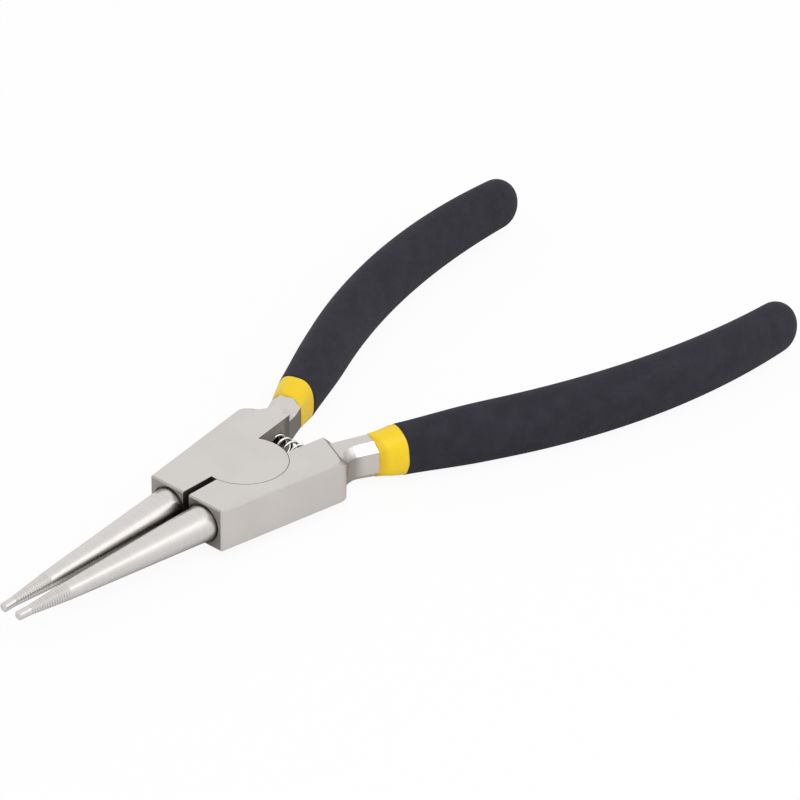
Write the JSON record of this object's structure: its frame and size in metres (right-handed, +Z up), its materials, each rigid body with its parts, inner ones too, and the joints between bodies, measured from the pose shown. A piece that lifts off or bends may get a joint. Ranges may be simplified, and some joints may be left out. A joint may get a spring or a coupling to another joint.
{
  "type": "circlip pliers",
  "caption": "External circlip pliers: straight round jaws, flush riveted lap joint, coil return spring and bowed dipped handles. Squeezing the handles spreads the jaws.",
  "frame": {"origin": "on the pivot axis, in the plane of the head's underside", "axes": "+X along the centre line towards the handles, +Y towards the left lever, +Z up out of the head's top face"},
  "size_m": [0.1806, 0.0828, 0.0126],
  "materials": {
    "lever_steel": "satin nickel plate over ground steel",
    "rivet_steel": "ground flush and plated with the levers",
    "spring_wire": "bright drawn wire",
    "first_coat": "semi-gloss dipped vinyl",
    "second_coat": "matte dipped vinyl with a fine grain"
  },
  "bodies": {
    "right_half": {"right_lever": "lever_steel", "right_collar": "first_coat", "right_grip": "second_coat", "return_spring": "spring_wire"},
    "left_half": {"left_lever": "lever_steel", "left_collar": "first_coat", "left_grip": "second_coat", "pivot_rivet": "rivet_steel"}
  },
  "joints": [
    {"name": "jaw_pivot", "type": "hinge", "parent": "right_half", "child": "left_half", "pos_m": [0, 0, 0.0045], "axis": [0, 0, -1], "range_deg": [-1.6, 29], "stiffness_Nm_per_rad": 0.6, "deforming": ["return_spring"]}
  ]
}
